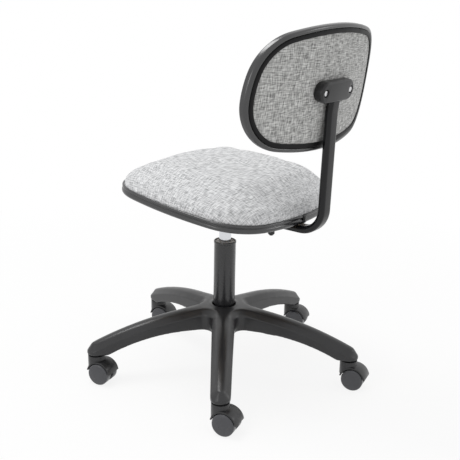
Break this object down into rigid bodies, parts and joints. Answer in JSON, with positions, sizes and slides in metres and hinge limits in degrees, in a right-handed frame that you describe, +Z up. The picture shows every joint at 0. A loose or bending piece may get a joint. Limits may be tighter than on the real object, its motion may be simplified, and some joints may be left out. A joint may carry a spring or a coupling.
{
  "type": "typist chair",
  "caption": "Armless typist chair with a padded seat, a curved padded backrest on a bent bar, a gas lift and a star base on twin-wheel casters",
  "frame": {"origin": "on the floor, on the axis of the column", "axes": "+Z up, -Y the way the sitter faces, +X the sitter's left"},
  "size_m": [0.6044, 0.6437, 0.8143],
  "materials": {
    "grey_nylon": "satin moulded nylon",
    "wheel_nylon": "satin moulded nylon",
    "black_paint": "satin black paint",
    "black_gloss": "gloss black paint",
    "pale_plastic": "pale moulded plastic",
    "dark_plastic": "black moulded plastic",
    "trim_plastic": "soft dark edge strip",
    "chrome_plate": "polished",
    "bright_steel": "zinc bright",
    "black_rubber": "matt",
    "plywood": "raw moulded plywood",
    "seat_cloth": "pale grey slubbed weave",
    "back_cloth": "grey slubbed weave"
  },
  "bodies": {
    "base": {"star_base": "grey_nylon", "column_tube": "black_paint", "guide_bush": "pale_plastic", "bearing_washer_lower": "bright_steel", "caster_stem_1": "bright_steel", "caster_stem_2": "bright_steel", "caster_stem_3": "bright_steel", "caster_stem_4": "bright_steel", "caster_stem_5": "bright_steel"},
    "caster_1": {"caster_hood_1": "grey_nylon", "caster_axle_1": "bright_steel"},
    "wheel_left_1": {"caster_wheel_left_1": "wheel_nylon"},
    "wheel_right_1": {"caster_wheel_right_1": "wheel_nylon"},
    "caster_2": {"caster_hood_2": "grey_nylon", "caster_axle_2": "bright_steel"},
    "wheel_left_2": {"caster_wheel_left_2": "wheel_nylon"},
    "wheel_right_2": {"caster_wheel_right_2": "wheel_nylon"},
    "caster_3": {"caster_hood_3": "grey_nylon", "caster_axle_3": "bright_steel"},
    "wheel_left_3": {"caster_wheel_left_3": "wheel_nylon"},
    "wheel_right_3": {"caster_wheel_right_3": "wheel_nylon"},
    "caster_4": {"caster_hood_4": "grey_nylon", "caster_axle_4": "bright_steel"},
    "wheel_left_4": {"caster_wheel_left_4": "wheel_nylon"},
    "wheel_right_4": {"caster_wheel_right_4": "wheel_nylon"},
    "caster_5": {"caster_hood_5": "grey_nylon", "caster_axle_5": "bright_steel"},
    "wheel_left_5": {"caster_wheel_left_5": "wheel_nylon"},
    "wheel_right_5": {"caster_wheel_right_5": "wheel_nylon"},
    "spindle": {"piston_rod": "chrome_plate", "piston_head": "dark_plastic", "thrust_ring": "bright_steel", "bearing_washer_upper": "bright_steel", "rubber_buffer": "black_rubber", "retaining_clip": "bright_steel"},
    "seat_unit": {"gas_cylinder": "chrome_plate", "cylinder_gland": "dark_plastic", "lift_cone": "black_paint", "mechanism_tray": "black_paint", "seat_plate": "black_paint", "bar_socket": "black_paint", "lever_pivot_pin": "bright_steel", "seat_board": "plywood", "seat_cushion": "seat_cloth", "seat_trim": "trim_plastic", "seat_inserts": "bright_steel", "seat_bolts": "bright_steel"},
    "valve": {"valve_pin": "bright_steel"},
    "lever": {"release_lever": "black_paint", "lever_grip": "dark_plastic"},
    "clamp": {"clamp_knob": "dark_plastic"},
    "back_unit": {"back_bar": "black_gloss", "bracket_plate": "black_paint", "bracket_cover": "dark_plastic", "bracket_bolts": "bright_steel", "back_board": "plywood", "back_inserts": "bright_steel", "back_cushion": "back_cloth", "back_panel": "back_cloth", "back_trim": "trim_plastic"}
  },
  "joints": [
    {"name": "caster_swivel_1", "type": "hinge", "parent": "base", "child": "caster_1", "pos_m": [0.24023, 0.18301, 0.058], "axis": [0, 0, 1], "continuous": true},
    {"name": "wheel_spin_left_1", "type": "hinge", "parent": "caster_1", "child": "wheel_left_1", "pos_m": [0.23686, 0.19762, 0.025], "axis": [0.9744, 0.225, 0], "continuous": true},
    {"name": "wheel_spin_right_1", "type": "hinge", "parent": "caster_1", "child": "wheel_right_1", "pos_m": [0.23686, 0.19762, 0.025], "axis": [0.9744, 0.225, 0], "continuous": true},
    {"name": "caster_swivel_2", "type": "hinge", "parent": "base", "child": "caster_2", "pos_m": [-0.09982, 0.28503, 0.058], "axis": [0, 0, 1], "continuous": true},
    {"name": "wheel_spin_left_2", "type": "hinge", "parent": "caster_2", "child": "wheel_left_2", "pos_m": [-0.10319, 0.29964, 0.025], "axis": [0.9744, 0.225, 0], "continuous": true},
    {"name": "wheel_spin_right_2", "type": "hinge", "parent": "caster_2", "child": "wheel_right_2", "pos_m": [-0.10319, 0.29964, 0.025], "axis": [0.9744, 0.225, 0], "continuous": true},
    {"name": "caster_swivel_3", "type": "hinge", "parent": "base", "child": "caster_3", "pos_m": [-0.30192, -0.00685, 0.058], "axis": [0, 0, 1], "continuous": true},
    {"name": "wheel_spin_left_3", "type": "hinge", "parent": "caster_3", "child": "wheel_left_3", "pos_m": [-0.3053, 0.00776, 0.025], "axis": [0.9744, 0.225, 0], "continuous": true},
    {"name": "wheel_spin_right_3", "type": "hinge", "parent": "caster_3", "child": "wheel_right_3", "pos_m": [-0.3053, 0.00776, 0.025], "axis": [0.9744, 0.225, 0], "continuous": true},
    {"name": "caster_swivel_4", "type": "hinge", "parent": "base", "child": "caster_4", "pos_m": [-0.08678, -0.28926, 0.058], "axis": [0, 0, 1], "continuous": true},
    {"name": "wheel_spin_left_4", "type": "hinge", "parent": "caster_4", "child": "wheel_left_4", "pos_m": [-0.09016, -0.27465, 0.025], "axis": [0.9744, 0.225, 0], "continuous": true},
    {"name": "wheel_spin_right_4", "type": "hinge", "parent": "caster_4", "child": "wheel_right_4", "pos_m": [-0.09016, -0.27465, 0.025], "axis": [0.9744, 0.225, 0], "continuous": true},
    {"name": "caster_swivel_5", "type": "hinge", "parent": "base", "child": "caster_5", "pos_m": [0.24829, -0.17192, 0.058], "axis": [0, 0, 1], "continuous": true},
    {"name": "wheel_spin_left_5", "type": "hinge", "parent": "caster_5", "child": "wheel_left_5", "pos_m": [0.24491, -0.15731, 0.025], "axis": [0.9744, 0.225, 0], "continuous": true},
    {"name": "wheel_spin_right_5", "type": "hinge", "parent": "caster_5", "child": "wheel_right_5", "pos_m": [0.24491, -0.15731, 0.025], "axis": [0.9744, 0.225, 0], "continuous": true},
    {"name": "seat_swivel", "type": "hinge", "parent": "base", "child": "spindle", "pos_m": [0, 0, 0.106], "axis": [0, 0, 1], "continuous": true},
    {"name": "seat_height", "type": "slide", "parent": "spindle", "child": "seat_unit", "axis": [0, 0, 1], "range_m": [-0.03, 0.09]},
    {"name": "lever_lift", "type": "hinge", "parent": "seat_unit", "child": "lever", "pos_m": [-0.022, 0, 0.4086], "axis": [0, 1, 0], "range_deg": [0, 6], "stiffness_Nm_per_rad": 3},
    {"name": "valve_press", "type": "slide", "parent": "seat_unit", "child": "valve", "axis": [0, 0, -1], "range_m": [0, 0.0028]},
    {"name": "clamp_turn", "type": "hinge", "parent": "seat_unit", "child": "clamp", "pos_m": [0, 0.128, 0.362], "axis": [0, 0, 1], "range_deg": [-180, 180]},
    {"name": "back_depth", "type": "slide", "parent": "seat_unit", "child": "back_unit", "axis": [0, 1, 0], "range_m": [-0.006, 0.04]}
  ],
  "couplings": [
    {"joint": "valve_press", "follows": "lever_lift", "m_per_rad": 0.026}
  ]
}
